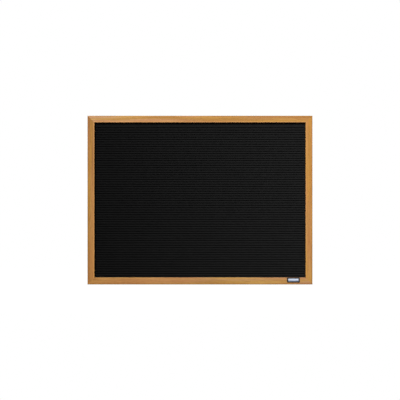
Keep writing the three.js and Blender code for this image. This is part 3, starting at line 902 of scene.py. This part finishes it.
def make_strap(side):
    """A steel strip folded double round the ring's bar, with its screw hole through both layers."""
    node = "hanger_strap_" + side
    low, high = span(node)
    pivot = hinge(f"ring_{side}_swing")
    width, drop = high.x - low.x, pivot.z - low.z
    loop, turn = STRAP_LOOP_RADIUS, STRAP_LOOP_RADIUS - STRAP_GAUGE
    outer_end = drop - loop - turn
    loop_start = outer_end + turn * math.pi / 2
    loop_end = loop_start + loop * math.pi * 1.5
    length = loop_end + drop

    def blank(inset):
        outline = rounded_rectangle(length, width, STRAP_END_ROUND, inset)
        return [(s + length / 2, t) for s, t in outline]

    def hole(centre):
        return lambda inset: [(s + centre, t) for s, t in circle(SCREW_HOLE_RADIUS + inset)]

    def fold(s, t, up):
        depth, height, heading = strap_line(s, drop)
        out = up - STRAP_METAL / 2
        return pivot + Vector((t, depth - out * math.sin(heading), height + out * math.cos(heading)))

    from_end = drop - STRAP_HOLE_DROP
    outlines = (blank, hole(from_end), hole(length - from_end))
    cuts = evenly(outer_end, loop_start, STRAP_TURN_STEPS)[:-1]
    cuts += evenly(loop_start, loop_end, STRAP_LOOP_STEPS)
    strap = stamping("folded_strap_" + side, outlines, STRAP_METAL, STRAP_EASE, cuts, fold)
    finish_piece(strap, "board", "zinc_steel", ZINC, node)
    return pivot


def make_ring(side, pivot):
    """The D-ring: round wire bent to shape, its ends butted inside the strap, leaning on the wood."""
    straight = RING_HALF_WIDTH - RING_CORNER_RADIUS
    bow = RING_HEIGHT - RING_HALF_WIDTH
    corner = RING_CORNER_RADIUS

    def bend(centre, radius, start, end, steps):
        points = arc(centre, radius, start, end, steps)
        return [(*point, turn + 90) for point, turn in zip(points, evenly(start, end, steps))]

    path = [(RING_BUTT_GAP / 2, 0, 0)]
    path += bend((straight, corner), corner, -90, 0, 8)
    path += bend((0, bow), RING_HALF_WIDTH, 0, 180, 32)
    path += bend((-straight, corner), corner, 180, 270, 8)
    path += [(-RING_BUTT_GAP / 2, 0, 360)]
    lean = math.asin((STRAP_LOOP_RADIUS + STRAP_GAUGE / 2 - RING_WIRE_RADIUS - RING_REST_GAP) / RING_HEIGHT)
    tilt = Matrix.Rotation(lean, 3, "X")
    rings = []
    for x, z, heading in path:
        out = Vector((-math.sin(math.radians(heading)), 0, math.cos(math.radians(heading))))
        rings.append([pivot + tilt @ (Vector((x, 0, z)) + out * a + Vector((0, b, 0)))
                      for a, b in circle(RING_WIRE_RADIUS, 18)])
    ring = piece_from("bent_ring_" + side, *stack(rings))
    finish_piece(ring, "ring_" + side, "zinc_steel", ZINC, "hanger_ring_" + side)


for side in ("left", "right"):
    make_ring(side, make_strap(side))


# Screws

def screw_rings(sides=28):
    """A pan-head wood screw as rings up its axis, seat at nought: point, thread and head."""
    rings = []
    per_turn = 8
    count = int((SCREW_LENGTH - THREAD_END) / THREAD_PITCH * per_turn)
    for i in range(count + 1):
        y = i * THREAD_PITCH / per_turn - SCREW_LENGTH
        taper = min(1.0, SCREW_TIP_SHARE + (y + SCREW_LENGTH) / SCREW_POINT)
        runout = min(1.0, -y / THREAD_PITCH)
        ring = []
        for j in range(sides):
            phase = (i / per_turn - j / sides) % 1
            crest = max(0.0, 1 - abs(phase - 0.5) / THREAD_CREST_SHARE) * runout
            radius = taper * (SCREW_ROOT + (SCREW_CREST - SCREW_ROOT) * crest)
            angle = 2 * math.pi * j / sides
            ring.append((radius * math.cos(angle), y, radius * math.sin(angle)))
        rings.append(ring)
    head = [(SCREW_ROOT, 0), (HEAD_RADIUS - HEAD_EDGE, 0), (HEAD_RADIUS, HEAD_EDGE), (HEAD_RADIUS, HEAD_RIM)]
    for degrees in range(10, 90, 10):
        angle = math.radians(degrees)
        head.append((HEAD_RADIUS * math.cos(angle) ** DOME_FULLNESS,
                     HEAD_RIM + (HEAD_HEIGHT - HEAD_RIM) * math.sin(angle)))
    for radius, y in head:
        rings.append([(x, y, z) for x, z in circle(radius, sides)])
    return rings


def cross_recess():
    """The tapered cross that a driver fits."""
    rings = []
    for reach, half, up in RECESS_LEVELS:
        outline = []
        for i in range(4):
            arm = Matrix.Rotation(math.radians(90 * i), 2)
            outline += [arm @ Vector(point) for point in ((reach, -half), (reach, half), (half, half))]
        rings.append([(x, HEAD_HEIGHT + up, z) for x, z in outline])
    return piece_from("cross_recess", *stack(rings))


def make_screws():
    """One screw is made and then set in each place, its cross standing as it was driven."""
    model = piece_from("screw_model", *stack(screw_rings()))
    carve(model, cross_recess())
    screws = [node for node in frame["nodes"] if "screw" in node]
    for i, node in enumerate(sorted(screws)):
        place = middle(node)
        place.y = span(node)[1].y - HEAD_HEIGHT
        mesh = model.data.copy()
        mesh.transform(Matrix.Translation(place * MM) @ Matrix.Rotation(SCREW_TURN * i, 4, "Y"))
        finish_piece(link_object("driven_" + node, mesh), "board", "screw_steel", SCREW_ZINC, node)
    bpy.data.objects.remove(model)


make_screws()


# Wall bumpers

def make_bumper(side, material):
    """A moulded rubber foot with a rounded rim and a shallow dimple."""
    node = "wall_bumper_" + side
    low, high = span(node)
    radius, height = (high.x - low.x) / 2, high.y - low.y
    profile = [(radius, 0)]
    profile += arc((radius - BUMPER_ROUND, height - BUMPER_ROUND), BUMPER_ROUND, 0, 90, 8)
    profile += [
        (DIMPLE_RADIUS + DIMPLE_EDGE, height),
        (DIMPLE_RADIUS, height - DIMPLE_STEP),
        (DIMPLE_POINT, height - DIMPLE_DEPTH),
    ]
    centre = (low + high) / 2
    rings = [[(centre.x + x, low.y + up, centre.z + z) for x, z in circle(ring_radius, 48)]
             for ring_radius, up in profile]
    bumper = piece_from("rubber_foot_" + side, *stack(rings))
    finish_piece(bumper, "board", "rubber", material, node)


RUBBER = moulded_rubber()
for side in ("left", "right"):
    make_bumper(side, RUBBER)


# Label

def label_ring(centre, width, height, corner, inset, depth):
    """A rounded outline of the label at a depth."""
    outline = rounded_rectangle(width, height, corner, inset)
    return [(centre.x + x, depth, centre.z + z) for x, z in outline]


def make_label():
    """A moulded plate on the bottom rail, with a plain foil insert let in flush."""
    low, high = span("label_plate")
    insert_low, insert_high = span("label_insert")
    size, field = high - low, insert_high - insert_low
    centre = (low + high) / 2
    rings = [label_ring(centre, size.x, size.z, LABEL_CORNER, inset, high.y - up)
             for inset, up in eased_levels(size.y, LABEL_EASE)]
    pocket = field + 2 * Vector((INSERT_CLEARANCE, 0, INSERT_CLEARANCE))
    corner = INSERT_CORNER + INSERT_CLEARANCE
    for depth in (low.y, insert_high.y):
        rings.append(label_ring(centre, pocket.x, pocket.z, corner, 0, depth))
    plate = piece_from("moulded_label_plate", *stack(rings))
    finish_piece(plate, "board", "label_black", moulded_black(), "label_plate")

    rings = [label_ring(centre, field.x, field.z, INSERT_CORNER, inset, insert_high.y - up)
             for inset, up in eased_levels(field.y, INSERT_EASE)]
    insert = piece_from("foil_insert", *stack(rings))
    foil = two_tone_foil(insert_low, insert_high)
    finish_piece(insert, "board", "label_foil", foil, "label_insert")


make_label()


# Studio: a white floor and surround, a soft key from the upper left and fills at the right and behind

def white_floor():
    """White paint that glows for the lens, so that it is white in the picture and lights the board no
    more than a grey floor does. Behind the board it also glows in reflections, so that the fittings
    there mirror a white floor."""
    material = bpy.data.materials.new("white_floor")
    material.use_nodes = True
    tree = material.node_tree
    shader = tree.nodes["Principled BSDF"]
    path = add(tree, "ShaderNodeLightPath").node.outputs
    place = add(tree, "ShaderNodeTexCoord").node.outputs["Object"]
    axes = add(tree, "ShaderNodeSeparateXYZ", {"Vector": place}).node.outputs
    away = add(tree, "ShaderNodeVectorMath", {0: place}, operation="LENGTH")
    tone = laid_over(tree, linear("#4a4a4a"), linear("#000000"), away, *FLOOR_FADE)
    behind = add(tree, "ShaderNodeMapRange",
                 {0: axes[1], 1: MIRROR_START[0], 2: MIRROR_START[1], 4: FLOOR_MIRRORED})
    mirrored = add(tree, "ShaderNodeMath", {0: behind, 1: path["Is Glossy Ray"]}, operation="MULTIPLY")
    glow = add(tree, "ShaderNodeMapRange",
               {0: away, 1: FLOOR_FADE[0], 2: FLOOR_FADE[1], 3: FLOOR_GLOW, 4: 1.0})
    glow = add(tree, "ShaderNodeMath", {0: glow, 1: path["Is Camera Ray"], 2: mirrored},
               operation="MULTIPLY_ADD")
    fill(tree, shader, {
        "Base Color": tone,
        "Emission Strength": glow,
        "Emission Color": (1, 1, 1, 1),
        "Roughness": 1.0,
        "Specular IOR Level": 0.0,
    })
    return material


def make_floor():
    """A seamless floor under the board's foot."""
    corners = [(x * FLOOR_REACH, y * FLOOR_REACH, 0) for x, y in ((-1, -1), (1, -1), (1, 1), (-1, 1))]
    floor = piece_from("floor", corners, [(0, 1, 2, 3)])
    floor.location.z = cad_bounds[0].z - FLOOR_GAP * MM
    floor.data.materials.append(white_floor())


def make_surround():
    """White all round for the lens. For everything else it is a dim even light in front of the board
    and a brighter one behind it."""
    world = bpy.data.worlds.new("surround")
    world.use_nodes = True
    tree = world.node_tree
    tree.nodes.clear()
    seen = add(tree, "ShaderNodeLightPath").node.outputs["Is Camera Ray"]
    way = add(tree, "ShaderNodeTexCoord").node.outputs["Generated"]
    axes = add(tree, "ShaderNodeSeparateXYZ", {"Vector": way}).node.outputs
    dim = add(tree, "ShaderNodeMapRange",
              {0: axes[1], 1: SURROUND_TURN[0], 2: SURROUND_TURN[1], 3: SURROUND_FRONT, 4: SURROUND_BACK})
    strength = add(tree, "ShaderNodeMix", {0: seen, 2: dim, 3: 1.0})
    light = add(tree, "ShaderNodeBackground", {"Color": (1, 1, 1, 1), "Strength": strength})
    add(tree, "ShaderNodeOutputWorld", {"Surface": light})
    bpy.context.scene.world = world


def make_light(name, place, size, watts):
    """A square soft light aimed at the board's centre; its place is in metres from there."""
    lamp = bpy.data.lights.new(name, "AREA")
    lamp.size = size
    lamp.energy = watts
    light = bpy.data.objects.new(name, lamp)
    centre = BOARD_CENTRE * MM
    light.location = centre + Vector(place)
    light.rotation_euler = (centre - light.location).to_track_quat("-Z", "Y").to_euler()
    light.visible_camera = False
    bpy.context.scene.collection.objects.link(light)


make_floor()
make_surround()
for name, light in LIGHTS.items():
    make_light(name, *light)

bpy.context.scene.view_settings.view_transform = "Standard"
